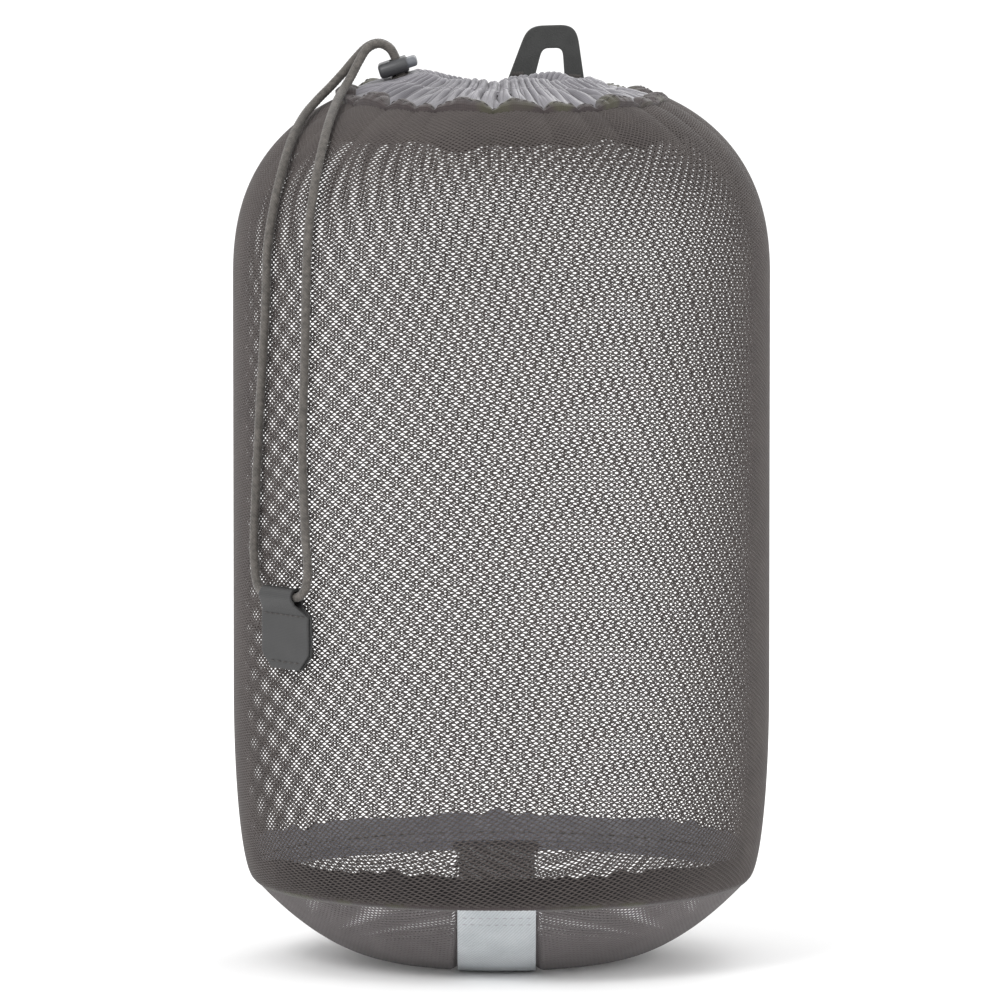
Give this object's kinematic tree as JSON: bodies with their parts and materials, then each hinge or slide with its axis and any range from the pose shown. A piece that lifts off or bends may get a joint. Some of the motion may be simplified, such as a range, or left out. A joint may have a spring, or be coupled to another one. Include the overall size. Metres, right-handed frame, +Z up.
{
  "type": "stuff sack",
  "caption": "Round drawcord sack of see-through knitted mesh with a gathered collar, cord lock, cord tab, hang loop and base strap.",
  "frame": {"origin": "centre of the flattened patch that the filled sack stands on, on the sack's axis", "axes": "+Z up along the sack's axis towards its mouth, -Y towards the front, +X to the right seen from the front"},
  "size_m": [0.179, 0.179, 0.3075],
  "materials": {
    "mesh_fabric": "knitted mesh, see-through, matt with a slight sheen",
    "binding_tape": "ribbed binding tape",
    "collar_nylon": "thin coated nylon, gathered, soft sheen",
    "strap_webbing": "smooth flat tape",
    "coated_fabric": "rubber-coated fabric, matt, cut edges",
    "cord": "braided cord",
    "thread": "twisted polyester thread",
    "lock_plastic": "moulded, fine texture",
    "plunger_plastic": "moulded, satin",
    "spring_wire": "drawn spring wire"
  },
  "bodies": {
    "sack": {"mesh_body": "mesh_fabric", "mesh_base": "mesh_fabric", "side_seam_binding": "binding_tape", "side_seam_stitching": "thread", "base_seam_binding": "binding_tape", "base_seam_stitching": "thread", "collar_facing": "binding_tape", "collar": "collar_nylon", "collar_seam_stitching": "thread", "channel_stitching": "thread", "cord_exit_buttonhole": "thread", "drawcord_loop": "cord", "drawcord_tail": "cord", "hang_loop_ends": "coated_fabric", "hang_loop_bartacks": "thread", "base_strap": "strap_webbing", "base_strap_stitching": "thread"},
    "cord_lock": {"cord_lock_barrel": "lock_plastic", "cord_lock_spring": "spring_wire"},
    "cord_lock_button": {"cord_lock_plunger": "plunger_plastic"},
    "hang_loop": {"hang_loop": "coated_fabric"},
    "cord_tab": {"cord_tab": "coated_fabric", "cord_tab_stitching": "thread"}
  },
  "joints": [
    {"name": "hang_loop_fold", "type": "hinge", "parent": "sack", "child": "hang_loop", "pos_m": [0.015, 0.0475, 0.2942], "axis": [1, 0, 0], "range_deg": [-105, 75], "stiffness_Nm_per_rad": 0.0008},
    {"name": "cord_lock_slide", "type": "slide", "parent": "sack", "child": "cord_lock", "axis": [-0.309, 0, 0.9511], "range_m": [0, 0.003]},
    {"name": "cord_lock_press", "type": "slide", "parent": "cord_lock", "child": "cord_lock_button", "axis": [-0.9511, 0, -0.309], "range_m": [0, 0.0018], "stiffness_N_per_m": 900, "springref_m": -0.002},
    {"name": "cord_tab_swing", "type": "hinge", "parent": "sack", "child": "cord_tab", "pos_m": [-0.0726, -0.058, 0.1278], "axis": [-0.6239, 0.7815, 0], "range_deg": [0, 90]}
  ]
}
